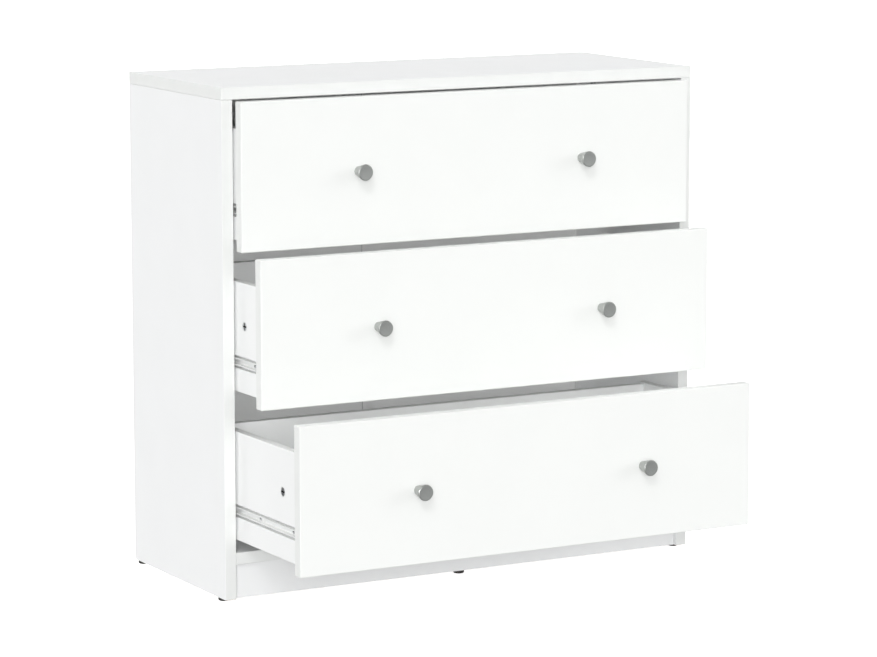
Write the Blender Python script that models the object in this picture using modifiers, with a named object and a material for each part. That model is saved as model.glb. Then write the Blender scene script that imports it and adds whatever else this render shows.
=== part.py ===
"""Chest of drawers: a board carcass on glides, with three inset drawers on ball-bearing runners.

Metres. X runs across the width, +Y to the rear and +Z up; left and right are as seen from the front.
The origin is on the floor, under the middle of the chest as it stands here with its drawers drawn out.
"""

import math

import bmesh
import bpy
from mathutils import Matrix, Vector

GAP = 0.0003  # between pieces that rest against each other
PEG_SIDES = 24
THIN_PEG_RADIUS = 0.004
THIN_PEG_SIDES = 12

# Carcass
WIDTH = 0.724
HEIGHT = 0.685
DEPTH = 0.292
BOARD = 0.016
BOARD_EDGE = 0.0004  # radius of a board's edges
PLINTH_HEIGHT = 0.047
PLINTH_SETBACK = 0.007

# Back: two thin sheets in grooves, joined by a strip of H section
SHEET = 0.003
BACK_SETBACK = 0.009
BACK_GROOVE = 0.006
STRIP_WIDTH = 0.020
STRIP_WALL = 0.0013

# Glides
GLIDE_HEIGHT = 0.0045
GLIDE_RADIUS = 0.0077
GLIDE_SOLE = 0.0056
GLIDE_FRONT_SETBACK = 0.022
GLIDE_REAR_SETBACK = 0.012
GLIDE_STEPS = 16

# Drawer fronts, inset and flush with the carcass when closed
REVEAL = 0.002
FRONT_SPACING = 0.00325
FRONT_EDGE = 0.001

# Drawer boxes, measured from their front's lower edge
LEVELS = ("lower", "middle", "upper")
DRAWN_OUT = {"lower": 0.1845, "middle": 0.0755, "upper": 0.0205}
BOX_BOARD = 0.012
BOX_BOARD_EDGE = 0.0005
BOX_LENGTH = 0.250
BOX_INSIDE_LENGTH = 0.235
BOX_SIDE_GAP = 0.003
BOX_RAISE = 0.015
BOX_HEIGHT = 0.146
BACK_DROP = 0.002
BASE_RAISE = 0.008
BASE_GROOVE = 0.0045
FRONT_GROOVE = 0.006

# Cams that hold a drawer's sides to its front
CAM_RADIUS = 0.006
CAM_LENGTH = 0.0085
CAM_CLEARANCE = 0.0003
CAM_BEHIND_FRONT = 0.035
CAM_RAISE = 0.104
CROSS_LENGTH = 0.0095
CROSS_WIDTH = 0.0022
CROSS_DEPTH = 0.0025

# Knobs
KNOB_SPACING = 0.344
KNOB_LENGTH = 0.0215
KNOB_FOOT_RADIUS = 0.0065
KNOB_HEAD_RADIUS = 0.0108
KNOB_RIM_RADIUS = 0.0012
KNOB_DISH = 0.0003
KNOB_BORE_RADIUS = 0.0017
KNOB_BORE_DEPTH = 0.012
KNOB_STEPS = 32
SCREW_HOLE_RADIUS = 0.0025

# Runners: their sections run from the carcass side (depth 0) towards the drawer
RUNNER_LENGTH = 0.246
RUNNER_SETBACK = 0.018
RUNNER_RAISE = 0.0545
RUNNER_WALL = 0.001
RUNNER_HOLES = (0.014, 0.110, 0.224)
RUNNER_HOLE_RADIUS = 0.0021
CABINET_MEMBER_HEIGHT = 0.0166
CABINET_MEMBER_DEPTH = 0.0086
DRAWER_MEMBER_HEIGHT = 0.0096
DRAWER_MEMBER_NEAR = 0.0026
DRAWER_MEMBER_FAR = 0.0106
STOP_LENGTH = 0.001
STOP_HALF_HEIGHT = 0.002
STOP_DEPTH = 0.003
RUNNER_GROOVE_HEIGHT = 0.0174
RUNNER_GROOVE_DEPTH = 0.008

# Ball cages, which roll half as far as the drawer
CAGE_LENGTH = 0.048
CAGE_HEIGHT = 0.0126
CAGE_WALL = 0.0005
CAGE_NEAR = 0.0017
CAGE_FAR = 0.0069
BALL_RADIUS = 0.00095
BALL_SPACING = 0.018

SIDES = {"left": -1, "right": 1}
FINISHES = {
    "melamine": ((0.90, 0.905, 0.90), 0.42, 0.0),
    "backing": ((0.86, 0.865, 0.86), 0.55, 0.0),
    "zinc": ((0.72, 0.73, 0.74), 0.35, 1.0),
    "white_steel": ((0.86, 0.865, 0.86), 0.40, 0.0),
    "knob_metal": ((0.42, 0.42, 0.41), 0.38, 1.0),
    "glide_plastic": ((0.05, 0.045, 0.04), 0.5, 0.0),
    "strip_plastic": ((0.85, 0.855, 0.85), 0.4, 0.0),
}

INNER_HALF = WIDTH / 2 - BOARD
CARCASS_HEIGHT = HEIGHT - GLIDE_HEIGHT
UNDER_TOP = CARCASS_HEIGHT - BOARD
FLOOR_TOP = PLINTH_HEIGHT + BOARD
FRONT_PITCH = (UNDER_TOP - FLOOR_TOP - 2 * REVEAL + FRONT_SPACING) / len(LEVELS)
FRONT_HEIGHT = FRONT_PITCH - FRONT_SPACING
FRONT_HALF = INNER_HALF - REVEAL
BOX_HALF = INNER_HALF - BOX_SIDE_GAP
BOX_INNER_HALF = BOX_HALF - BOX_BOARD
BASE_HEIGHT = BOX_RAISE + BASE_RAISE
BACK_Y = DEPTH - BACK_SETBACK - SHEET
RUNNER_MIDDLE = RUNNER_SETBACK + RUNNER_LENGTH / 2
# The front plane lies so far forward that the drawn chest's middle is at Y = 0.
FRONT_PLANE = (max(DRAWN_OUT.values()) + KNOB_LENGTH - DEPTH) / 2


def clear_scene():
    for leftover in list(bpy.data.objects):
        bpy.data.objects.remove(leftover)


def new_collection(name):
    collection = bpy.data.collections.new(name)
    bpy.context.scene.collection.children.link(collection)
    return collection


def place(name, data, parent, location=(0, 0, 0), turn=(0, 0, 0), collection="chest_of_drawers"):
    """A named object in a collection, at a location and a turn in degrees from its parent."""
    piece = bpy.data.objects.new(name, data)
    bpy.data.collections[collection].objects.link(piece)
    piece.parent = parent
    piece.location = location
    piece.rotation_euler = [math.radians(angle) for angle in turn]
    return piece


def finish(piece, name):
    """Gives the piece a material of its own, with the colour and gloss of a named finish."""
    colour, roughness, metallic = FINISHES[name]
    material = bpy.data.materials.new(piece.name)
    material.use_nodes = True
    shader = material.node_tree.nodes["Principled BSDF"]
    shader.inputs["Base Color"].default_value = (*colour, 1.0)
    shader.inputs["Roughness"].default_value = roughness
    shader.inputs["Metallic"].default_value = metallic
    if not piece.data.materials:
        piece.data.materials.append(None)
    piece.material_slots[0].link = "OBJECT"
    piece.material_slots[0].material = material
    return piece


def add_box(shape, corner, opposite):
    """Adds a box between two opposite corners, in any order, to a bmesh."""
    corner, opposite = Vector(corner), Vector(opposite)
    size = [abs(length) for length in opposite - corner]
    spread = Matrix.Diagonal((*size, 1.0))
    bmesh.ops.create_cube(shape, size=1.0, matrix=Matrix.Translation((corner + opposite) / 2) @ spread)


def add_peg(shape, centre, axis, radius, length):
    """Adds a cylinder about an axis through its centre to a bmesh, with fewer sides if it is thin."""
    turn = Vector((0, 0, 1)).rotation_difference(Vector(axis)).to_matrix().to_4x4()
    bmesh.ops.create_cone(
        shape,
        cap_ends=True,
        segments=THIN_PEG_SIDES if radius < THIN_PEG_RADIUS else PEG_SIDES,
        radius1=radius,
        radius2=radius,
        depth=length,
        matrix=Matrix.Translation(centre) @ turn,
    )


def mesh_of(name, shape):
    mesh = bpy.data.meshes.new(name)
    shape.to_mesh(mesh)
    shape.free()
    return mesh


def box(name, parent, corner, opposite, edge=0.0, segments=1):
    """A board between two opposite corners, with its origin at its centre and its edges rounded."""
    centre = (Vector(corner) + Vector(opposite)) / 2
    shape = bmesh.new()
    add_box(shape, Vector(corner) - centre, Vector(opposite) - centre)
    piece = place(name, mesh_of(name, shape), parent, centre)
    if edge:
        rounding = piece.modifiers.new("rounding", "BEVEL")
        rounding.width = edge
        rounding.segments = segments
    return piece


def cutter(name, parent, boxes=(), pegs=(), balls=()):
    """A hidden tool of boxes (corners), pegs (centre, axis, radius, length) and balls (centre, radius)."""
    shape = bmesh.new()
    for corner, opposite in boxes:
        add_box(shape, corner, opposite)
    for centre, axis, radius, length in pegs:
        add_peg(shape, centre, axis, radius, length)
    for centre, radius in balls:
        at = Matrix.Translation(centre)
        bmesh.ops.create_uvsphere(shape, u_segments=8, v_segments=4, radius=radius, matrix=at)
    tool = place(name, mesh_of(name, shape), parent, collection="cutters")
    tool.hide_render = True
    tool.display_type = "WIRE"
    return tool


def combine(piece, tool, operation="DIFFERENCE"):
    boolean = piece.modifiers.new(tool.name, "BOOLEAN")
    boolean.operation = operation
    boolean.solver = "EXACT"
    boolean.object = tool
    return piece


def turned(name, parent, location, profile, steps, turn=(0, 0, 0)):
    """Turns (radius, height) points, listed from the top down the outer side, about the local Z axis."""
    mesh = bpy.data.meshes.new(name)
    points = [(radius, 0, height) for radius, height in profile]
    mesh.from_pydata(points, [(i, i + 1) for i in range(len(points) - 1)], [])
    piece = place(name, mesh, parent, location, turn)
    screw = piece.modifiers.new("turning", "SCREW")
    screw.axis = "Z"
    screw.steps = screw.render_steps = steps
    screw.use_merge_vertices = True
    screw.merge_threshold = 0.00001
    screw.use_smooth_shade = True
    return piece


def arc(centre, radius, start, end, steps):
    """Points of an arc between two angles in degrees."""
    angles = [math.radians(start + (end - start) * i / steps) for i in range(steps + 1)]
    return [(centre[0] + radius * math.cos(a), centre[1] + radius * math.sin(a)) for a in angles]


def channel_section(near, far, height, wall, opens_far):
    """Outline (depth, height) of a channel, open on the side that is far from or near the carcass."""
    web = near + wall if opens_far else far - wall
    back, lip = (near, far) if opens_far else (far, near)
    half = height / 2
    inner = half - wall
    upper = [(web, inner), (lip, inner), (lip, half), (back, half)]
    return upper + [(depth, -level) for depth, level in reversed(upper)]


def extruded(name, section, length):
    """A mesh object with a flat section in X and Z, extruded along Y and centred on it."""
    curve = bpy.data.curves.new(name, "CURVE")
    curve.dimensions = "2D"
    curve.fill_mode = "BOTH"
    curve.extrude = length / 2
    spline = curve.splines.new("POLY")
    spline.points.add(len(section) - 1)
    for point, (x, y) in zip(spline.points, section):
        point.co = (x, y, 0, 1)
    spline.use_cyclic_u = True
    outline = place(name + "_outline", curve, None, turn=(90, 0, 0), collection="cutters")
    mesh = finished_mesh(outline)
    return place(name, mesh, None, collection="cutters")


def finished_mesh(piece):
    """The piece's mesh with its modifiers and turn applied and its caps welded; the piece is removed."""
    bpy.context.view_layer.update()
    evaluated = piece.evaluated_get(bpy.context.evaluated_depsgraph_get())
    mesh = bpy.data.meshes.new_from_object(evaluated)
    shape = bmesh.new()
    shape.from_mesh(mesh)
    bmesh.ops.transform(shape, matrix=piece.matrix_world, verts=shape.verts)
    bmesh.ops.remove_doubles(shape, verts=shape.verts, dist=0.000001)
    bmesh.ops.recalc_face_normals(shape, faces=shape.faces)
    shape.to_mesh(mesh)
    shape.free()
    bpy.data.objects.remove(piece)
    return mesh


def runner_holes(depth):
    """Pegs through a runner's web, at its screw holes."""
    places = [at - RUNNER_LENGTH / 2 for at in RUNNER_HOLES]
    return [((depth, y, 0), (1, 0, 0), RUNNER_HOLE_RADIUS, 4 * RUNNER_WALL) for y in places]


def cabinet_member_mesh():
    """The outer runner member: a channel open to the drawer, with a stop at each end."""
    section = channel_section(GAP, CABINET_MEMBER_DEPTH, CABINET_MEMBER_HEIGHT, RUNNER_WALL, True)
    member = extruded("cabinet_member", section, RUNNER_LENGTH)
    end = RUNNER_LENGTH / 2
    stops = [
        (
            (GAP + RUNNER_WALL / 2, sign * end, -STOP_HALF_HEIGHT),
            (STOP_DEPTH, sign * (end - STOP_LENGTH), STOP_HALF_HEIGHT),
        )
        for sign in (-1, 1)
    ]
    stop_tool = cutter("runner_stops", None, boxes=stops)
    hole_tool = cutter("cabinet_member_holes", None, pegs=runner_holes(GAP))
    combine(member, stop_tool, "UNION")
    combine(member, hole_tool)
    return finished_mesh(member)


def drawer_member_mesh():
    """The inner runner member: a narrower channel open to the carcass."""
    section = channel_section(
        DRAWER_MEMBER_NEAR, DRAWER_MEMBER_FAR, DRAWER_MEMBER_HEIGHT, RUNNER_WALL, False
    )
    member = extruded("drawer_member", section, RUNNER_LENGTH)
    combine(member, cutter("drawer_member_holes", None, pegs=runner_holes(DRAWER_MEMBER_FAR)))
    return finished_mesh(member)


def ball_cage_mesh():
    """A thin channel with three balls held in each flange."""
    section = channel_section(CAGE_NEAR, CAGE_FAR, CAGE_HEIGHT, CAGE_WALL, True)
    cage = extruded("ball_cage", section, CAGE_LENGTH)
    depth = (DRAWER_MEMBER_NEAR + CAGE_FAR + RUNNER_WALL) / 2
    height = (CAGE_HEIGHT - CAGE_WALL) / 2
    places = [(depth, BALL_SPACING * i, side * height) for i in (-1, 0, 1) for side in (-1, 1)]
    balls = [(at, BALL_RADIUS) for at in places]
    combine(cage, cutter("cage_balls", None, balls=balls), "UNION")
    return finished_mesh(cage)


def put_runner_piece(name, mesh, parent, side, y, z, surface):
    """Puts a runner piece beside one carcass side; the right-hand one is turned about."""
    turn = (0, 0, 0 if side < 0 else 180)
    finish(place(name, mesh, parent, (side * INNER_HALF, y, z), turn), surface)


def make_boards(carcass):
    """The carcass: top, sides, floor board and plinth, grooved for the back."""
    half = WIDTH / 2
    groove_low, groove_high = BACK_Y - GAP, BACK_Y + SHEET + GAP

    corner, opposite = (-half, 0, UNDER_TOP), (half, DEPTH, CARCASS_HEIGHT)
    top = box("top_panel", carcass, corner, opposite, BOARD_EDGE)
    reach = INNER_HALF + BACK_GROOVE
    groove = ((-reach, groove_low, UNDER_TOP - BOARD), (reach, groove_high, UNDER_TOP + BACK_GROOVE))
    combine(finish(top, "melamine"), cutter("top_groove", carcass, boxes=[groove]))

    for label, side in SIDES.items():
        inner = side * INNER_HALF
        opposite = (side * half, DEPTH, UNDER_TOP - GAP)
        panel = box(f"side_panel_{label}", carcass, (inner, 0, 0), opposite, BOARD_EDGE)
        groove = (
            (inner - side * BOARD, groove_low, -BOARD),
            (inner + side * BACK_GROOVE, groove_high, UNDER_TOP + BOARD),
        )
        combine(finish(panel, "melamine"), cutter(f"side_groove_{label}", carcass, boxes=[groove]))

    between = INNER_HALF - GAP
    corner, opposite = (-between, 0, PLINTH_HEIGHT), (between, BACK_Y - GAP, FLOOR_TOP)
    finish(box("bottom_panel", carcass, corner, opposite, BOARD_EDGE), "melamine")
    corner = (-between, PLINTH_SETBACK, 0)
    opposite = (between, PLINTH_SETBACK + BOARD, PLINTH_HEIGHT - GAP)
    finish(box("plinth", carcass, corner, opposite, BOARD_EDGE), "melamine")


def make_back(carcass):
    """Two sheets that slide in the grooves, and the H-section strip between them."""
    inner = STRIP_WALL / 2 + GAP
    outer = INNER_HALF + BACK_GROOVE - GAP
    top = UNDER_TOP + BACK_GROOVE - GAP
    for label, side in SIDES.items():
        corner, opposite = (side * inner, BACK_Y, PLINTH_HEIGHT), (side * outer, BACK_Y + SHEET, top)
        finish(box(f"back_panel_{label}", carcass, corner, opposite), "backing")

    bottom, top = FLOOR_TOP + GAP, UNDER_TOP - GAP
    reach = GAP + STRIP_WALL
    half = STRIP_WIDTH / 2
    corner, opposite = (-half, BACK_Y - reach, bottom), (half, BACK_Y + SHEET + reach, top)
    strip = box("back_joint_strip", carcass, corner, opposite)
    slots = [
        ((side * STRIP_WALL / 2, BACK_Y - GAP, 0), (side * STRIP_WIDTH, BACK_Y + SHEET + GAP, HEIGHT))
        for side in SIDES.values()
    ]
    combine(finish(strip, "strip_plastic"), cutter("strip_slots", carcass, boxes=slots))


def make_glides(carcass):
    """Five round glides: one near each end of both sides, and one under the plinth."""
    crown = GLIDE_HEIGHT - GAP
    shoulder = GLIDE_RADIUS - GLIDE_SOLE
    sole_edge = arc((GLIDE_SOLE, shoulder), shoulder, 0, -90, 3)
    profile = [(0, crown), (GLIDE_RADIUS, crown), *sole_edge, (0, 0)]
    side = WIDTH / 2 - BOARD / 2
    places = {
        "front_left": (-side, GLIDE_FRONT_SETBACK),
        "front_right": (side, GLIDE_FRONT_SETBACK),
        "rear_left": (-side, DEPTH - GLIDE_REAR_SETBACK),
        "rear_right": (side, DEPTH - GLIDE_REAR_SETBACK),
        "plinth": (0, PLINTH_SETBACK + BOARD / 2),
    }
    for label, (x, y) in places.items():
        glide = turned(f"glide_{label}", carcass, (x, y, -GLIDE_HEIGHT), profile, GLIDE_STEPS)
        finish(glide, "glide_plastic")


def knob_profile():
    """A cone that widens to its head, with a rounded rim, a slightly dished face and a screw bore."""
    rim = (KNOB_HEAD_RADIUS - KNOB_RIM_RADIUS, KNOB_LENGTH - KNOB_RIM_RADIUS)
    return [
        (0, KNOB_LENGTH - KNOB_DISH),
        *arc(rim, KNOB_RIM_RADIUS, 90, -15, 4),
        (KNOB_FOOT_RADIUS, GAP),
        (KNOB_BORE_RADIUS, GAP),
        (KNOB_BORE_RADIUS, KNOB_BORE_DEPTH),
        (0, KNOB_BORE_DEPTH),
    ]


def make_front(level, drawer):
    """The front board with its knobs, a groove for the base and a hole behind each knob."""
    corner, opposite = (-FRONT_HALF, 0, 0), (FRONT_HALF, BOARD, FRONT_HEIGHT)
    front = finish(box(f"{level}_drawer_front", drawer, corner, opposite, FRONT_EDGE, 2), "melamine")
    reach = BOX_INNER_HALF + BASE_GROOVE + GAP
    groove = (
        (-reach, BOARD - FRONT_GROOVE, BASE_HEIGHT - GAP),
        (reach, 2 * BOARD, BASE_HEIGHT + SHEET + GAP),
    )
    middle = FRONT_HEIGHT / 2
    across = {label: side * KNOB_SPACING / 2 for label, side in SIDES.items()}
    holes = [
        ((x, BOARD / 2, middle), (0, 1, 0), SCREW_HOLE_RADIUS, 2 * BOARD) for x in across.values()
    ]
    combine(front, cutter(f"{level}_front_cuts", drawer, boxes=[groove], pegs=holes))
    for label, x in across.items():
        name, at = f"{level}_knob_{label}", (x, 0, middle)
        finish(turned(name, drawer, at, knob_profile(), KNOB_STEPS, (90, 0, 0)), "knob_metal")


def make_box_side(level, label, side, drawer):
    """One side board, grooved outside for the runner and inside for the base, and bored for its cam."""
    outer, inner = side * BOX_HALF, side * BOX_INNER_HALF
    corner = (outer, BOARD + GAP, BOX_RAISE)
    opposite = (inner, BOARD + BOX_LENGTH, BOX_RAISE + BOX_HEIGHT)
    board = box(f"{level}_drawer_side_{label}", drawer, corner, opposite, BOX_BOARD_EDGE)
    runner_groove = (
        (side * INNER_HALF, 0, RUNNER_RAISE - RUNNER_GROOVE_HEIGHT / 2),
        (outer - side * RUNNER_GROOVE_DEPTH, DEPTH, RUNNER_RAISE + RUNNER_GROOVE_HEIGHT / 2),
    )
    base_groove = (
        (inner - side * BOX_BOARD, 0, BASE_HEIGHT - GAP),
        (inner + side * (BASE_GROOVE + GAP), DEPTH, BASE_HEIGHT + SHEET + GAP),
    )
    cam_at = (outer, BOARD + CAM_BEHIND_FRONT, CAM_RAISE)
    bore = (cam_at, (1, 0, 0), CAM_RADIUS + CAM_CLEARANCE, 2 * (CAM_LENGTH + 2 * GAP))
    tool = cutter(f"{level}_side_cuts_{label}", drawer, boxes=[runner_groove, base_groove], pegs=[bore])
    combine(finish(board, "melamine"), tool)
    make_cam(level, label, side, drawer, cam_at)


def make_cam(level, label, side, drawer, at):
    """A round cam let into the side board, with a cross recess for the screwdriver."""
    name = f"{level}_cam_{label}"
    shape = bmesh.new()
    add_peg(shape, (0, 0, 0), (1, 0, 0), CAM_RADIUS, CAM_LENGTH)
    centre = (at[0] - side * (CAM_LENGTH / 2 + GAP), at[1], at[2])
    cam = finish(place(name, mesh_of(name, shape), drawer, centre), "zinc")
    face = at[0] - side * GAP
    arms = {"flat": (CROSS_LENGTH, CROSS_WIDTH), "tall": (CROSS_WIDTH, CROSS_LENGTH)}
    for arm, (along, up) in arms.items():
        deep = (face - side * CROSS_DEPTH, at[1] - along / 2, at[2] - up / 2)
        proud = (face + side * CROSS_DEPTH, at[1] + along / 2, at[2] + up / 2)
        combine(cam, cutter(f"{name}_{arm}", drawer, boxes=[(deep, proud)]))


def make_drawer(level, drawer):
    """A front, two sides, a back and a thin base."""
    make_front(level, drawer)
    for label, side in SIDES.items():
        make_box_side(level, label, side, drawer)
    inside = BOX_INNER_HALF - GAP
    rear = BOARD + BOX_INSIDE_LENGTH + BOX_BOARD
    corner = (-inside, rear - BOX_BOARD, BASE_HEIGHT + SHEET + GAP)
    opposite = (inside, rear, BOX_RAISE + BOX_HEIGHT - BACK_DROP)
    finish(box(f"{level}_drawer_back", drawer, corner, opposite, BOX_BOARD_EDGE), "melamine")
    reach = BOX_INNER_HALF + BASE_GROOVE
    corner = (-reach, BOARD - FRONT_GROOVE + GAP, BASE_HEIGHT)
    opposite = (reach, rear, BASE_HEIGHT + SHEET)
    finish(box(f"{level}_drawer_base", drawer, corner, opposite), "backing")


def make_runners(level, carcass, drawer, bottom, meshes):
    """Both sides' runners: one member on the carcass, one on the drawer, and the cage between them."""
    rolled = DRAWN_OUT[level] / 2
    z = bottom + RUNNER_RAISE
    pieces = {
        "cabinet_runner": (meshes["cabinet"], carcass, RUNNER_MIDDLE, z, "white_steel"),
        "drawer_runner": (meshes["drawer"], drawer, RUNNER_MIDDLE, RUNNER_RAISE, "white_steel"),
        "ball_cage": (meshes["cage"], carcass, RUNNER_MIDDLE - rolled, z, "zinc"),
    }
    for label, side in SIDES.items():
        for piece, (mesh, parent, y, height, surface) in pieces.items():
            put_runner_piece(f"{level}_{piece}_{label}", mesh, parent, side, y, height, surface)


def main():
    clear_scene()
    new_collection("chest_of_drawers")
    new_collection("cutters").hide_render = True
    carcass = place("carcass", None, None, (0, FRONT_PLANE, GLIDE_HEIGHT))
    make_boards(carcass)
    make_back(carcass)
    make_glides(carcass)
    meshes = {
        "cabinet": cabinet_member_mesh(),
        "drawer": drawer_member_mesh(),
        "cage": ball_cage_mesh(),
    }
    for index, level in enumerate(LEVELS):
        bottom = FLOOR_TOP + REVEAL + index * FRONT_PITCH
        drawer = place(f"{level}_drawer", None, carcass, (0, -DRAWN_OUT[level], bottom))
        make_drawer(level, drawer)
        make_runners(level, carcass, drawer, bottom, meshes)


main()
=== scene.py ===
"""Looks of a white flat-pack chest of drawers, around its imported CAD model.

Metres, in the CAD model's frame: X runs across the width, +Y to the rear and +Z up, with the floor at Z = 0.
"""

import math

import bmesh
import bpy
from mathutils import Matrix, Vector


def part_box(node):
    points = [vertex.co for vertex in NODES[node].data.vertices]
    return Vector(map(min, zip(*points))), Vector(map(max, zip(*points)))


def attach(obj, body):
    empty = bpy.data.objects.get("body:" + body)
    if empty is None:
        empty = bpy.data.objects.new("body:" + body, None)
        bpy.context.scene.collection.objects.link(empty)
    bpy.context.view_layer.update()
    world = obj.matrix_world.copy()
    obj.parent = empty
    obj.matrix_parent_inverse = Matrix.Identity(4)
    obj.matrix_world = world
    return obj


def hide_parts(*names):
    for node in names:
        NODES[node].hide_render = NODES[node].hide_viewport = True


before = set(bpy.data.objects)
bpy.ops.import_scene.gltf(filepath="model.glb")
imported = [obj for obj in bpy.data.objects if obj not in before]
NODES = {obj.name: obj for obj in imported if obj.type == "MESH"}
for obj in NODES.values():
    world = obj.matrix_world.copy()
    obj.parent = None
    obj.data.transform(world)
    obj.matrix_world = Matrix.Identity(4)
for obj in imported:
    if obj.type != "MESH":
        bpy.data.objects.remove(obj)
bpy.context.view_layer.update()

LEVELS = ("lower", "middle", "upper")
SIDES = {"left": -1, "right": 1}
X, Y, Z = 0, 1, 2
FRONT, REAR, UP, DOWN = (0, -1, 0), (0, 1, 0), (0, 0, 1), (0, 0, -1)

# Camera, on an orbit about a point near the chest's middle, in degrees, metres and millimetres of lens
CAMERA_AZIMUTH = -28.96
CAMERA_ELEVATION = 8.85
CAMERA_DISTANCE = 4.90
CAMERA_TARGET = Vector((-0.0124, 0.0066, 0.3365))
CAMERA_LENS = 146.9

# The studio, in metres, and in light where 1 is the picture's white
SKY_HORIZON = 0.60
SKY_OVERHEAD = 0.50
SKY_BELOW = 0.32
FLOOR_GLOW = 0.92
FLOOR_TONE = 0.90
FLOOR_RADIUS = 12.0
COVE_RADIUS = 5.0
CEILING = 14.0

# Distant lamps: azimuth, elevation and spread in degrees, the light on a white face turned to the lamp,
# whether every piece stands in its way, and whether glossy surfaces mirror it
LAMPS = {
    "key": (-29, 9, 20, 0.385, True, True),
    "fill": (-10, 5, 4, 0.17, False, True),
    "high": (-36, 37, 16, 0.22, True, False),
    "left": (-90, 20, 20, 0.14, True, True),
    "left_fill": (-75, 8, 4, 0.09, False, True),
    "right": (60, 15, 20, 0.12, True, True),
    "rear_right": (115, 25, 20, 0.45, True, False),
    "rear_left": (-150, 25, 20, 0.35, True, False),
}


# Materials. Every pattern follows the object's own coordinates, so it stays with the piece


def start_material(name, colour, roughness, metallic=0.0):
    """A plain material, with its node tree, its shader and the object's coordinates."""
    material = bpy.data.materials.new(name)
    material.use_nodes = True
    tree = material.node_tree
    shader = tree.nodes["Principled BSDF"]
    shader.inputs["Base Color"].default_value = (*colour, 1.0)
    shader.inputs["Roughness"].default_value = roughness
    shader.inputs["Metallic"].default_value = metallic
    place = tree.nodes.new("ShaderNodeTexCoord").outputs["Object"]
    return material, tree, shader, place


def stretched(tree, place, scale):
    """The coordinates with each axis scaled by its own factor."""
    mapping = tree.nodes.new("ShaderNodeMapping")
    mapping.inputs["Scale"].default_value = scale
    tree.links.new(place, mapping.inputs["Vector"])
    return mapping.outputs["Vector"]


def noise(tree, place, scale, detail=2.0, roughness=0.5):
    """Cloudy noise about a middle of 0.5, with so many clouds to the metre."""
    texture = tree.nodes.new("ShaderNodeTexNoise")
    texture.inputs["Scale"].default_value = scale
    texture.inputs["Detail"].default_value = detail
    texture.inputs["Roughness"].default_value = roughness
    tree.links.new(place, texture.inputs["Vector"])
    return texture.outputs["Fac"]


def cells(tree, place, scale, output="Color"):
    """Irregular cells, so many to the metre: each one's random colour, or the distance to its middle."""
    texture = tree.nodes.new("ShaderNodeTexVoronoi")
    texture.inputs["Scale"].default_value = scale
    tree.links.new(place, texture.inputs["Vector"])
    return texture.outputs[output]


def remap(tree, value, low, high, new_low, new_high):
    """Stretches the value's range low..high to new_low..new_high, clamped. Each limit may be a socket."""
    node = tree.nodes.new("ShaderNodeMapRange")
    for name, number in (("From Min", low), ("From Max", high), ("To Min", new_low), ("To Max", new_high)):
        if isinstance(number, bpy.types.NodeSocket):
            tree.links.new(number, node.inputs[name])
        else:
            node.inputs[name].default_value = number
    tree.links.new(value, node.inputs["Value"])
    return node.outputs["Result"]


def mix_colours(tree, factor, first, second):
    """A blend of two colours, each a triple or a socket."""
    node = tree.nodes.new("ShaderNodeMix")
    node.data_type = "RGBA"
    tree.links.new(factor, node.inputs["Factor"])
    for name, colour in (("A", first), ("B", second)):
        socket = next(s for s in node.inputs if s.name == name and s.type == "RGBA")
        if isinstance(colour, tuple):
            socket.default_value = (*colour, 1.0)
        else:
            tree.links.new(colour, socket)
    return next(s for s in node.outputs if s.type == "RGBA")


def add_bump(tree, shader, height, strength, distance):
    """Adds a bump, so many metres high, over whatever bump the shader already has."""
    node = tree.nodes.new("ShaderNodeBump")
    node.inputs["Strength"].default_value = strength
    node.inputs["Distance"].default_value = distance
    tree.links.new(height, node.inputs["Height"])
    normal = shader.inputs["Normal"]
    if normal.is_linked:
        tree.links.new(normal.links[0].from_socket, node.inputs["Normal"])
    tree.links.new(node.outputs["Normal"], normal)


def scaled(colour, factor):
    """The colour, darker or lighter by a factor."""
    return tuple(channel * factor for channel in colour)


def melamine(name, colour, roughness):
    """White decor paper pressed on board: faint mottle, a fine pearl texture and slow waviness."""
    material, tree, shader, place = start_material(name, colour, roughness)
    mottle = remap(tree, noise(tree, place, 14, 3), 0.35, 0.65, 0, 1)
    tone = mix_colours(tree, mottle, scaled(colour, 0.990), colour)
    speck = remap(tree, noise(tree, place, 2600, 1), 0.60, 0.72, 0, 0.35)
    tone = mix_colours(tree, speck, tone, scaled(colour, 0.955))
    tree.links.new(tone, shader.inputs["Base Color"])
    gloss = remap(tree, noise(tree, place, 420, 2), 0.3, 0.7, roughness - 0.04, roughness + 0.05)
    tree.links.new(gloss, shader.inputs["Roughness"])
    add_bump(tree, shader, noise(tree, place, 55, 1), 0.10, 0.00008)
    add_bump(tree, shader, noise(tree, place, 1700, 2), 0.16, 0.00005)
    return material


def edge_band(name, colour):
    """Plastic edging: a little glossier than the faces, with fine marks from the trimmer."""
    material, tree, shader, place = start_material(name, colour, 0.36)
    marks = noise(tree, place, 900, 2)
    tree.links.new(remap(tree, marks, 0.3, 0.7, 0.31, 0.43), shader.inputs["Roughness"])
    tone = remap(tree, noise(tree, place, 45, 2), 0.35, 0.65, 0, 1)
    tree.links.new(mix_colours(tree, tone, scaled(colour, 0.985), colour), shader.inputs["Base Color"])
    add_bump(tree, shader, marks, 0.10, 0.00004)
    return material


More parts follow.
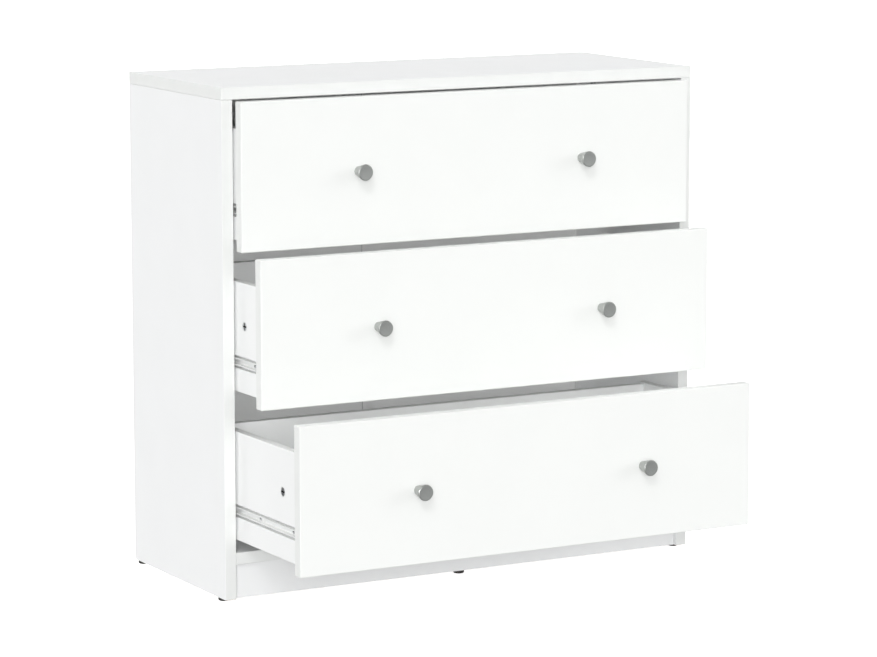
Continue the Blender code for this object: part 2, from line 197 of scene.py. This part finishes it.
def chipboard(name):
    """A sawn board edge: pressed flakes of pale and dark wood with small voids."""
    pale, tan, dark = (0.62, 0.47, 0.30), (0.45, 0.31, 0.18), (0.20, 0.12, 0.06)
    flake_scale = 420
    material, tree, shader, place = start_material(name, tan, 0.85)
    split = tree.nodes.new("ShaderNodeSeparateColor")
    tree.links.new(cells(tree, place, flake_scale), split.inputs["Color"])
    tone = mix_colours(tree, split.outputs["Red"], tan, pale)
    dark_flakes = remap(tree, split.outputs["Green"], 0.80, 0.86, 0, 0.8)
    tone = mix_colours(tree, dark_flakes, tone, dark)
    fibre = noise(tree, place, 1500, 3)
    tone = mix_colours(tree, remap(tree, fibre, 0.35, 0.65, 0, 0.35), tone, tan)
    tree.links.new(tone, shader.inputs["Base Color"])
    add_bump(tree, shader, cells(tree, place, flake_scale, "Distance"), 0.5, 0.0003)
    add_bump(tree, shader, fibre, 0.4, 0.0002)
    return material


def bare_hardboard(name):
    """The bare side of thin hardboard: brown felted fibres."""
    brown, light = (0.235, 0.145, 0.080), (0.36, 0.245, 0.150)
    material, tree, shader, place = start_material(name, brown, 0.72)
    cloud = remap(tree, noise(tree, place, 22, 4), 0.3, 0.7, 0, 0.6)
    fibre = remap(tree, noise(tree, place, 900, 4, 0.7), 0.35, 0.65, 0, 1)
    tone = mix_colours(tree, cloud, mix_colours(tree, fibre, brown, light), light)
    tree.links.new(tone, shader.inputs["Base Color"])
    add_bump(tree, shader, noise(tree, place, 1100, 4, 0.7), 0.35, 0.0001)
    return material


def lacquered_sheet(name, colour):
    """The white side of thin hardboard: a thin lacquer over a slightly uneven sheet."""
    material, tree, shader, place = start_material(name, colour, 0.5)
    cloud = remap(tree, noise(tree, place, 9, 3), 0.35, 0.65, 0, 1)
    tree.links.new(mix_colours(tree, cloud, scaled(colour, 0.975), colour), shader.inputs["Base Color"])
    gloss = remap(tree, noise(tree, place, 300, 2), 0.3, 0.7, 0.45, 0.56)
    tree.links.new(gloss, shader.inputs["Roughness"])
    add_bump(tree, shader, noise(tree, place, 700, 3, 0.6), 0.18, 0.00007)
    add_bump(tree, shader, noise(tree, place, 18, 1), 0.12, 0.0002)
    return material


def plastic(name, colour, roughness, grain):
    """Moulded or extruded plastic with so many grains to the metre."""
    material, tree, shader, place = start_material(name, colour, roughness)
    grains = noise(tree, place, grain, 2)
    gloss = remap(tree, grains, 0.3, 0.7, roughness - 0.05, roughness + 0.06)
    tree.links.new(gloss, shader.inputs["Roughness"])
    tone = remap(tree, noise(tree, place, 60, 2), 0.35, 0.65, 0, 1)
    tree.links.new(mix_colours(tree, tone, scaled(colour, 0.94), colour), shader.inputs["Base Color"])
    add_bump(tree, shader, grains, 0.2, 0.00005)
    return material


def powder_coat(name, colour):
    """Baked powder paint: an orange-peel skin with fine pores."""
    material, tree, shader, place = start_material(name, colour, 0.4)
    peel = noise(tree, place, 750, 2)
    tone = remap(tree, noise(tree, place, 70, 3), 0.35, 0.65, 0, 1)
    pores = remap(tree, noise(tree, place, 3200, 1), 0.62, 0.75, 0, 0.4)
    tone = mix_colours(tree, tone, scaled(colour, 0.97), colour)
    tree.links.new(mix_colours(tree, pores, tone, scaled(colour, 0.88)), shader.inputs["Base Color"])
    tree.links.new(remap(tree, peel, 0.3, 0.7, 0.32, 0.46), shader.inputs["Roughness"])
    add_bump(tree, shader, peel, 0.25, 0.00006)
    return material


def metal(name, colour, roughness, density):
    """Plated or cast metal: cloudy, with so many marks to the metre along each axis."""
    material, tree, shader, place = start_material(name, colour, roughness, 1.0)
    marks = noise(tree, stretched(tree, place, density), 1, 3, 0.6)
    cloud = remap(tree, noise(tree, place, 90, 2), 0.3, 0.7, 0, 1)
    tone = mix_colours(tree, cloud, scaled(colour, 0.95), colour)
    tone = mix_colours(tree, remap(tree, marks, 0.35, 0.65, 0, 0.5), tone, scaled(colour, 0.88))
    tree.links.new(tone, shader.inputs["Base Color"])
    gloss = remap(tree, marks, 0.3, 0.7, roughness - 0.07, roughness + 0.09)
    tree.links.new(gloss, shader.inputs["Roughness"])
    add_bump(tree, shader, marks, 0.15, 0.00005)
    return material


def turned_metal(name, colour, roughness):
    """Brushed metal with fine turned rings about the piece's own Z axis."""
    material, tree, shader, place = start_material(name, colour, roughness, 1.0)
    split = tree.nodes.new("ShaderNodeSeparateXYZ")
    tree.links.new(place, split.inputs["Vector"])
    across = tree.nodes.new("ShaderNodeVectorMath")
    across.operation = "LENGTH"
    tree.links.new(stretched(tree, place, (1, 1, 0)), across.inputs[0])
    rings = tree.nodes.new("ShaderNodeCombineXYZ")
    tree.links.new(across.outputs["Value"], rings.inputs["X"])
    tree.links.new(split.outputs["Z"], rings.inputs["Y"])
    brushed = noise(tree, rings.outputs["Vector"], 4200, 3, 0.65)
    worn = noise(tree, place, 130, 2)
    brushing = remap(tree, brushed, 0.3, 0.7, 0, 1)
    tone = mix_colours(tree, brushing, scaled(colour, 0.92), scaled(colour, 1.05))
    tone = mix_colours(tree, remap(tree, worn, 0.4, 0.7, 0, 0.35), tone, scaled(colour, 0.93))
    tree.links.new(tone, shader.inputs["Base Color"])
    gloss = remap(tree, brushed, 0.3, 0.7, roughness - 0.07, roughness + 0.07)
    tree.links.new(gloss, shader.inputs["Roughness"])
    add_bump(tree, shader, brushed, 0.22, 0.00004)
    return material


FINISHES = {
    "front": melamine("white_front_face", (0.842, 0.855, 0.840), 0.40),
    "board": melamine("white_board_face", (0.842, 0.850, 0.852), 0.42),
    "box_board": melamine("white_drawer_box", (0.842, 0.850, 0.848), 0.45),
    "edge": edge_band("white_edge_band", (0.785, 0.797, 0.785)),
    "raw_board": chipboard("sawn_chipboard"),
    "sheet": lacquered_sheet("white_hardboard_face", (0.83, 0.836, 0.83)),
    "raw_sheet": bare_hardboard("bare_hardboard"),
    "strip": plastic("white_joint_strip", (0.84, 0.845, 0.84), 0.42, 900),
    # Dark grey for the strip's left and right faces: painted shadow along the joint, not a grey part
    "painted_strip_shadow": plastic("strip_edge_painted_shadow", (0.26, 0.27, 0.265), 0.5, 900),
    "glide": plastic("dark_glide", (0.035, 0.032, 0.030), 0.45, 1500),
    "runner": powder_coat("white_runner", (0.83, 0.84, 0.83)),
    "cage": metal("zinc_cage", (0.80, 0.805, 0.81), 0.36, (1800, 40, 1800)),
    "cam": metal("die_cast_zinc", (0.60, 0.61, 0.62), 0.42, (700, 700, 700)),
    # Near-black for the sunk crosses of cams and screws: painted shade in the recess, not a dark metal
    "recess": metal("recess_painted_shade", (0.05, 0.05, 0.05), 0.6, (700, 700, 700)),
    "screw": metal("zinc_screw", (0.70, 0.71, 0.72), 0.30, (900, 900, 900)),
    # The knob's face and cone are one brushed metal in two copies; the cone's copy is darker, as painted
    # shade
    "knob_face": turned_metal("brushed_knob_face", (0.62, 0.643, 0.625), 0.34),
    "shaded_knob_cone": turned_metal("brushed_metal_cone_painted_shade", (0.46, 0.475, 0.46), 0.40),
}


# CAD nodes, with a finish for each kind of surface


def dress(node, choose):
    """Gives each polygon of a CAD node the finish that choose(polygon) names."""
    mesh = NODES[node].data
    names = []
    mesh.materials.clear()
    for polygon in mesh.polygons:
        name = choose(polygon)
        if name not in names:
            names.append(name)
            mesh.materials.append(FINISHES[name])
        polygon.material_index = names.index(name)


def dress_board(node, face, raw_edges=(), raw_cuts=True):
    """Faces, banded edges, and sawn chipboard on the raw edges. Grooves and holes are sawn chipboard too,
    or like the faces if raw_cuts is off."""
    low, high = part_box(node)
    thin = min((X, Y, Z), key=lambda axis: high[axis] - low[axis])
    edge_rounding = 0.0012
    same_way = 0.7  # cosine of the angle within which a polygon belongs to an edge

    def choose(polygon):
        normal = polygon.normal
        axis = max((X, Y, Z), key=lambda i: abs(normal[i]))
        outer = high[axis] if normal[axis] > 0 else low[axis]
        if abs(polygon.center[axis] - outer) > edge_rounding:
            return "raw_board" if raw_cuts else face
        if axis == thin:
            return face
        return "raw_board" if any(normal.dot(Vector(raw)) > same_way for raw in raw_edges) else "edge"

    dress(node, choose)


def dress_sheet(node, *white_sides):
    """A hardboard sheet, white on the sides given and bare elsewhere."""
    directions = [Vector(side) for side in white_sides]
    same_way = 0.9

    def choose(polygon):
        white = any(polygon.normal.dot(direction) > same_way for direction in directions)
        return "sheet" if white else "raw_sheet"

    dress(node, choose)


def dress_cam(node, side):
    """A cam, near-black where its cross is sunk: painted shade in the recess."""
    low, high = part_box(node)
    middle = (low + high) / 2
    face = high.x if side > 0 else low.x
    skin, cross_depth, cross_reach = 0.0002, 0.0026, 0.0051

    def choose(polygon):
        sunk = skin < abs(polygon.center.x - face) < cross_depth
        inside = (polygon.center - middle).yz.length < cross_reach
        return "recess" if sunk and inside else "cam"

    dress(node, choose)


def dress_strip(node):
    """The strip between the back's two sheets. Its left and right faces are dark grey: painted shadow, for
    the shadow lines along the joint.
    """
    dress(node, lambda polygon: "painted_strip_shadow" if abs(polygon.normal.x) > 0.9 else "strip")


def dress_plain(node, finish):
    dress(node, lambda polygon: finish)


def dress_cad_nodes():
    dress_board("top_panel", "board")
    dress_board("bottom_panel", "board", (REAR,))
    dress_board("plinth", "board", (DOWN,))
    dress_sheet("back_panel_left", FRONT)
    dress_sheet("back_panel_right", FRONT)
    dress_strip("back_joint_strip")
    for label in SIDES:
        dress_board(f"side_panel_{label}", "board", (REAR, DOWN))
    for level in LEVELS:
        dress_board(f"{level}_drawer_front", "front")
        dress_board(f"{level}_drawer_back", "box_board", (DOWN,))
        dress_sheet(f"{level}_drawer_base", UP, DOWN)
        for label, side in SIDES.items():
            dress_board(f"{level}_drawer_side_{label}", "box_board", (REAR, FRONT), raw_cuts=False)
            dress_cam(f"{level}_cam_{label}", side)
            dress_plain(f"{level}_ball_cage_{label}", "cage")
            dress_plain(f"{level}_cabinet_runner_{label}", "runner")
            dress_plain(f"{level}_drawer_runner_{label}", "runner")


# Small pieces. A template's seat is at Z = 0, with its head above and its shank below

SHARPEST_SMOOTH_EDGE = math.radians(32)


def as_mesh(name, shape):
    """A mesh made from a bmesh shape, which is used up."""
    mesh = bpy.data.meshes.new(name)
    shape.to_mesh(mesh)
    shape.free()
    return mesh


def new_piece(name, mesh, finishes):
    """A named object, smooth where its faces meet at a low angle."""
    mesh.shade_smooth()
    mesh.set_sharp_from_angle(angle=SHARPEST_SMOOTH_EDGE)
    if not mesh.materials:
        for finish in finishes:
            mesh.materials.append(FINISHES[finish])
    piece = bpy.data.objects.new(name, mesh)
    bpy.context.scene.collection.objects.link(piece)
    return piece


def fasten(piece, body):
    """Has a piece ride on a body."""
    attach(piece, body)


def spin(profile, steps):
    """Turns (radius, height) points about Z. The profile runs from the top's centre to the bottom's, or the
    other way round for faces that look inward."""
    shape = bmesh.new()
    rings = []
    for radius, height in profile:
        if radius == 0:
            rings.append([shape.verts.new((0, 0, height))])
            continue
        angles = [2 * math.pi * i / steps for i in range(steps)]
        rings.append([shape.verts.new((radius * math.cos(a), radius * math.sin(a), height)) for a in angles])
    for upper, lower in zip(rings, rings[1:]):
        for i in range(steps):
            j = (i + 1) % steps
            corners = [
                upper[i % len(upper)],
                lower[i % len(lower)],
                lower[j % len(lower)],
                upper[j % len(upper)],
            ]
            distinct = list(dict.fromkeys(corners))
            if len(distinct) > 2:
                shape.faces.new(distinct)
    return shape


def arc(centre, radius, start, end, steps):
    """Points of an arc between two angles in degrees."""
    angles = [math.radians(start + (end - start) * i / steps) for i in range(steps + 1)]
    return [(centre[0] + radius * math.cos(a), centre[1] + radius * math.sin(a)) for a in angles]


def cross_cutter(reach, width, top, depth):
    """A cross that narrows downwards, to cut a screwdriver's recess."""
    taper, clearance = 0.62, 0.001
    shape = bmesh.new()
    for size_x, size_y in ((2 * reach, width), (width, 2 * reach)):
        for vert in bmesh.ops.create_cube(shape, size=1.0)["verts"]:
            low = vert.co.z < 0
            vert.co.x *= size_x * (taper if low else 1.0)
            vert.co.y *= size_y * (taper if low else 1.0)
            vert.co.z = top - depth if low else top + clearance
    return as_mesh("cross_cutter", shape)


def recessed(shape, reach, width, top, depth):
    """A mesh of the shape with a cross recess in its top. The recess has the second material, a near-black
    painted shade.
    """
    blank, cutter = as_mesh("blank", shape), cross_cutter(reach, width, top, depth)
    # The cutter's faces become the recess walls, which take the painted shade
    for polygon in cutter.polygons:
        polygon.material_index = 1
    items = []
    for mesh in (blank, cutter):
        mesh.materials.append(FINISHES["screw"])
        mesh.materials.append(FINISHES["recess"])
        items.append(bpy.data.objects.new(mesh.name, mesh))
        bpy.context.scene.collection.objects.link(items[-1])
    cut = items[0].modifiers.new("cut", "BOOLEAN")
    cut.operation = "DIFFERENCE"
    cut.solver = "EXACT"
    cut.use_self = True
    cut.object = items[1]
    bpy.context.view_layer.update()
    mesh = bpy.data.meshes.new_from_object(items[0].evaluated_get(bpy.context.evaluated_depsgraph_get()))
    for item in items:
        bpy.data.objects.remove(item)
    return mesh


def pan_screw(radius, height, shank_radius, shank_length):
    """A screw with a low domed head and a cross recess."""
    dome = height * 0.55
    crown = arc((0, 0), 1, 90, 0, 6)
    profile = [(0, height)]
    profile += [(radius * x, height - dome + dome * y) for x, y in crown[1:]]
    profile += [(radius, 0), (shank_radius, 0)]
    profile += [(shank_radius, -shank_length), (0, -shank_length - shank_radius)]
    shape = spin(profile, 24)
    return recessed(shape, reach=radius * 0.56, width=radius * 0.20, top=height, depth=height * 0.8)


def countersunk_screw(radius, shank_radius, shank_length):
    """A screw with a flat head that lies all but flush with the board."""
    proud, chamfer = 0.00012, 0.0002
    profile = [(0, proud), (radius - chamfer, proud), (radius, 0), (shank_radius, shank_radius - radius),
               (shank_radius, -shank_length), (0, -shank_length - shank_radius)]
    shape = spin(profile, 24)
    return recessed(shape, reach=radius * 0.58, width=radius * 0.22, top=proud, depth=radius * 0.5)


def nail():
    """A thin nail with a small domed head."""
    profile = [(0, 0.0006), (0.0007, 0.00055), (0.0012, 0.0003), (0.0013, 0),
               (0.0006, 0), (0.0006, -0.009), (0, -0.011)]
    return as_mesh("nail", spin(profile, 16))


def connector_cam(radius):
    """A round cam let into a board, with a chamfered edge and a cross recess."""
    proud, chamfer, depth = 0.0002, 0.0005, 0.009
    profile = [(0, proud), (radius - chamfer, proud), (radius, proud - chamfer)]
    profile += [(radius, -depth), (0, -depth)]
    shape = spin(profile, 40)
    return recessed(shape, reach=radius * 0.62, width=radius * 0.17, top=proud, depth=0.0022)


def place_at(point, outward):
    """The move and turn that seat a template at a point, with its head looking outward."""
    turn = Vector(UP).rotation_difference(Vector(outward)).to_matrix().to_4x4()
    return Matrix.Translation(point) @ turn


def stamp(name, template, places, finishes, body):
    """One piece made of copies of a template, one in each place, each driven home at its own angle."""
    golden_angle = math.radians(137.5)
    shape = bmesh.new()
    for i, place in enumerate(places):
        before = len(shape.verts)
        shape.from_mesh(template)
        shape.verts.ensure_lookup_table()
        twist = Matrix.Rotation(golden_angle * i, 4, "Z")
        for vert in shape.verts[before:]:
            vert.co = place @ twist @ vert.co
    fasten(new_piece(name, as_mesh(name, shape), finishes), body)


def turned_knobs():
    """Cone-shaped knobs with a rounded rim and a slightly dished face, in place of the CAD model's."""
    low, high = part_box("lower_knob_left")
    length, head, foot = high.y - low.y, (high.x - low.x) / 2, 0.0065
    rim, dish, foot_edge = 0.0012, 0.0003, 0.0003
    land = head - rim
    rounds = 8
    face = [(land * i / rounds, length - dish * (1 - (i / rounds) ** 2)) for i in range(rounds + 1)]
    profile = face + arc((land, length - rim), rim, 80, -8, rounds)
    profile += [(foot, foot_edge), (foot - foot_edge, 0), (0, 0)]
    mesh = as_mesh("turned_knob", spin(profile, 72))
    # Face polygons take the lighter copy of the metal and the cone the darker one, which is painted shade
    for polygon in mesh.polygons:
        on_face = polygon.center.xy.length < land and polygon.center.z > length / 2
        polygon.material_index = 0 if on_face else 1
    for level in LEVELS:
        for label in SIDES:
            seat_low, seat_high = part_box(f"{level}_knob_{label}")
            middle = (seat_low + seat_high) / 2
            seat = Vector((middle.x, seat_high.y, middle.z))
            knob = new_piece(f"{level}_knob_{label}_turned", mesh, ["knob_face", "shaded_knob_cone"])
            knob.matrix_world = place_at(seat, FRONT)
            fasten(knob, f"{level}_drawer")
            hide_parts(f"{level}_knob_{label}")


def moulded_glides():
    """Nail-on glides: a sole with a rounded edge, and a small step under the board."""
    for label in ("front_left", "front_right", "rear_left", "rear_right", "plinth"):
        low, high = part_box(f"glide_{label}")
        radius, height = (high.x - low.x) / 2, high.z - low.z
        sole = radius * 0.727
        edge = radius - sole
        step = 0.0006
        profile = [(0, height), (radius - step, height)]
        profile += [(radius - step, height - step), (radius, height - step)]
        profile += [*arc((sole, edge), edge, 0, -90, 8), (0, 0)]
        shape = spin(profile, 48)
        centre = Vector(((low.x + high.x) / 2, (low.y + high.y) / 2, low.z))
        bmesh.ops.translate(shape, vec=centre, verts=shape.verts)
        name = f"glide_{label}_moulded"
        glide = new_piece(name, as_mesh(name, shape), ["glide"])
        fasten(glide, "carcass")
        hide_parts(f"glide_{label}")


RUNNER_HOLES = (0.014, 0.110, 0.224)  # from the front end of either member
RUNNER_WALL = 0.001


def web_places(node, looking):
    """Places along the web at a runner member's back, for screws whose heads look right (1) or left (-1)."""
    low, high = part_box(node)
    web = (low.x if looking > 0 else high.x) + looking * RUNNER_WALL
    middle = (low.z + high.z) / 2
    return [place_at((web, low.y + hole, middle), (looking, 0, 0)) for hole in RUNNER_HOLES]


def runner_screws():
    """Three screws through each runner member: nearly flat in the cabinet's, and domed in the drawer's."""
    head, shank = 0.0032, 0.0018
    flat_screw = pan_screw(head, height=0.00035, shank_radius=shank, shank_length=0.010)
    domed_screw = pan_screw(head, height=0.0015, shank_radius=shank, shank_length=0.0042)
    for level in LEVELS:
        for label, side in SIDES.items():
            places = web_places(f"{level}_cabinet_runner_{label}", -side)
            name = f"{level}_cabinet_runner_screws_{label}"
            stamp(name, flat_screw, places, ["screw", "recess"], "carcass")
            places = web_places(f"{level}_drawer_runner_{label}", side)
            name = f"{level}_drawer_runner_screws_{label}"
            stamp(name, domed_screw, places, ["screw", "recess"], f"{level}_drawer")


SCREWS_UP_THE_BACK = (0.48, 0.82)  # shares of a drawer back's height
NAILS_ALONG_THE_BACK = (-0.67, 0, 0.67)  # shares of half its width


def drawer_fasteners():
    """A screw behind each knob, two through each side into the back, and nails up into the back."""
    knob_screw = pan_screw(0.0042, height=0.0026, shank_radius=0.0016, shank_length=0.022)
    side_screw = countersunk_screw(0.0035, shank_radius=0.0017, shank_length=0.028)
    for level in LEVELS:
        body = f"{level}_drawer"
        inner_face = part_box(f"{level}_drawer_front")[1].y
        places = []
        for label in SIDES:
            low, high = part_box(f"{level}_knob_{label}")
            places.append(place_at(((low.x + high.x) / 2, inner_face, (low.z + high.z) / 2), REAR))
        stamp(f"{level}_knob_screws", knob_screw, places, ["screw", "recess"], body)

        back_low, back_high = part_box(f"{level}_drawer_back")
        middle = (back_low + back_high) / 2
        heights = [back_low.z + (back_high.z - back_low.z) * share for share in SCREWS_UP_THE_BACK]
        for label, side in SIDES.items():
            low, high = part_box(f"{level}_drawer_side_{label}")
            outer = high.x if side > 0 else low.x
            places = [place_at((outer, middle.y, height), (side, 0, 0)) for height in heights]
            name = f"{level}_drawer_side_screws_{label}"
            stamp(name, side_screw, places, ["screw", "recess"], body)

        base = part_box(f"{level}_drawer_base")[0].z
        places = [place_at((back_high.x * share, middle.y, base), DOWN) for share in NAILS_ALONG_THE_BACK]
        stamp(f"{level}_base_nails", nail(), places, ["screw"], body)


def carcass_fasteners():
    """Cams in the side panels, under the floor board and behind the plinth, and nails along the back."""
    setback, inset, cam_reach = 0.024, 0.045, 0.0003
    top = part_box("top_panel")[0].z
    floor_low, floor_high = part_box("bottom_panel")
    plinth_low, plinth_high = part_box("plinth")
    plinth_middle = (plinth_low.z + plinth_high.z) / 2
    places = []
    for side in SIDES.values():
        end = floor_high.x if side > 0 else floor_low.x
        for y in (floor_low.y + inset, floor_high.y - inset):
            places.append(place_at((end + side * cam_reach, y, top - setback), (-side, 0, 0)))
            places.append(place_at((end - side * setback, y, floor_low.z), DOWN))
        places.append(place_at((end - side * setback, plinth_high.y, plinth_middle), REAR))
    cam = connector_cam(radius=0.0074)
    stamp("carcass_cams", cam, places, ["cam", "recess"], "carcass")

    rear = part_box("back_panel_left")[1].y
    height = (floor_low.z + floor_high.z) / 2
    nails, end_gap = 8, 0.02
    spacing = (floor_high.x - floor_low.x - 2 * end_gap) / (nails - 1)
    places = [place_at((floor_low.x + end_gap + spacing * i, rear, height), REAR) for i in range(nails)]
    stamp("back_nails", nail(), places, ["screw"], "carcass")


# The studio

scene = bpy.context.scene
HORIZON_BAND = (-0.08, 0.0)  # heights on the sky's unit sphere, over which it brightens from below
UPPER_BAND = (0.05, 0.5)  # and over which it turns to its overhead light


def around(aim, azimuth, elevation, distance):
    """A point on an orbit about the aim: azimuth 0 is in front of the chest, and -90 to its left."""
    azimuth, elevation = math.radians(azimuth), math.radians(elevation)
    away = Vector((
        math.sin(azimuth) * math.cos(elevation),
        -math.cos(azimuth) * math.cos(elevation),
        math.sin(elevation),
    ))
    return aim + away * distance


def link_facing(name, data, place, aim):
    """An object for a camera or a lamp, at a place and turned to face the aim."""
    item = bpy.data.objects.new(name, data)
    scene.collection.objects.link(item)
    item.location = place
    item.rotation_euler = (aim - place).to_track_quat("-Z", "Y").to_euler()
    return item


def place_camera():
    data = bpy.data.cameras.new("camera")
    data.lens = CAMERA_LENS
    data.sensor_width = 36.0
    place = around(CAMERA_TARGET, CAMERA_AZIMUTH, CAMERA_ELEVATION, CAMERA_DISTANCE)
    scene.camera = link_facing("camera", data, place, CAMERA_TARGET)


def light_studio():
    """An even white sky with soft, distant lamps. Lamps that pieces don't block fill the insides of the
    drawers and the chest, and only the upper front stops them, so the thin gaps round it stay dark."""
    world = bpy.data.worlds.new("studio")
    world.use_nodes = True
    tree = world.node_tree
    split = tree.nodes.new("ShaderNodeSeparateXYZ")
    tree.links.new(tree.nodes.new("ShaderNodeTexCoord").outputs["Generated"], split.inputs["Vector"])
    upper = remap(tree, split.outputs["Z"], *UPPER_BAND, SKY_HORIZON, SKY_OVERHEAD)
    strength = remap(tree, split.outputs["Z"], *HORIZON_BAND, SKY_BELOW, upper)
    tree.links.new(strength, tree.nodes["Background"].inputs["Strength"])
    tree.nodes["Background"].inputs["Color"].default_value = (1.0, 1.0, 1.0, 1.0)
    scene.world = world
    upper_front = bpy.data.collections.new("upper_front")
    upper_front.objects.link(NODES["upper_drawer_front"])
    for name, (azimuth, elevation, spread, strength, blocked, mirrored) in LAMPS.items():
        data = bpy.data.lights.new(name, "SUN")
        data.angle = math.radians(spread)
        data.energy = strength * math.pi
        place = around(CAMERA_TARGET, azimuth, elevation, CAMERA_DISTANCE)
        lamp = link_facing(name, data, place, CAMERA_TARGET)
        lamp.visible_glossy = mirrored
        if not blocked:
            lamp.light_linking.blocker_collection = upper_front
    scene.view_settings.view_transform = "Standard"


def lay_floor():
    """A plain floor that curves up into a wall and ceiling and glows nearly white. It lights nothing, and it
    is clear from behind, so that the chest's underside can be seen."""
    material, tree, shader, place = start_material("pale_floor", (FLOOR_TONE,) * 3, 0.9)
    shader.inputs["Specular IOR Level"].default_value = 0.2
    shader.inputs["Emission Color"].default_value = (1.0, 1.0, 1.0, 1.0)
    shader.inputs["Emission Strength"].default_value = FLOOR_GLOW
    one_sided = tree.nodes.new("ShaderNodeMixShader")
    tree.links.new(tree.nodes.new("ShaderNodeNewGeometry").outputs["Backfacing"], one_sided.inputs[0])
    tree.links.new(shader.outputs["BSDF"], one_sided.inputs[1])
    tree.links.new(tree.nodes.new("ShaderNodeBsdfTransparent").outputs["BSDF"], one_sided.inputs[2])
    tree.links.new(one_sided.outputs["Shader"], tree.nodes["Material Output"].inputs["Surface"])
    FINISHES["floor"] = material
    wall = FLOOR_RADIUS + COVE_RADIUS
    cove = arc((FLOOR_RADIUS, COVE_RADIUS), COVE_RADIUS, -90, 0, 12)
    shape = spin([(0, 0), *cove, (wall, CEILING), (0, CEILING)], 96)
    floor = new_piece("floor", as_mesh("floor", shape), ["floor"])
    floor.visible_diffuse = False
    floor.visible_glossy = False
    floor.visible_shadow = False


dress_cad_nodes()
turned_knobs()
moulded_glides()
runner_screws()
drawer_fasteners()
carcass_fasteners()
place_camera()
light_studio()
lay_floor()
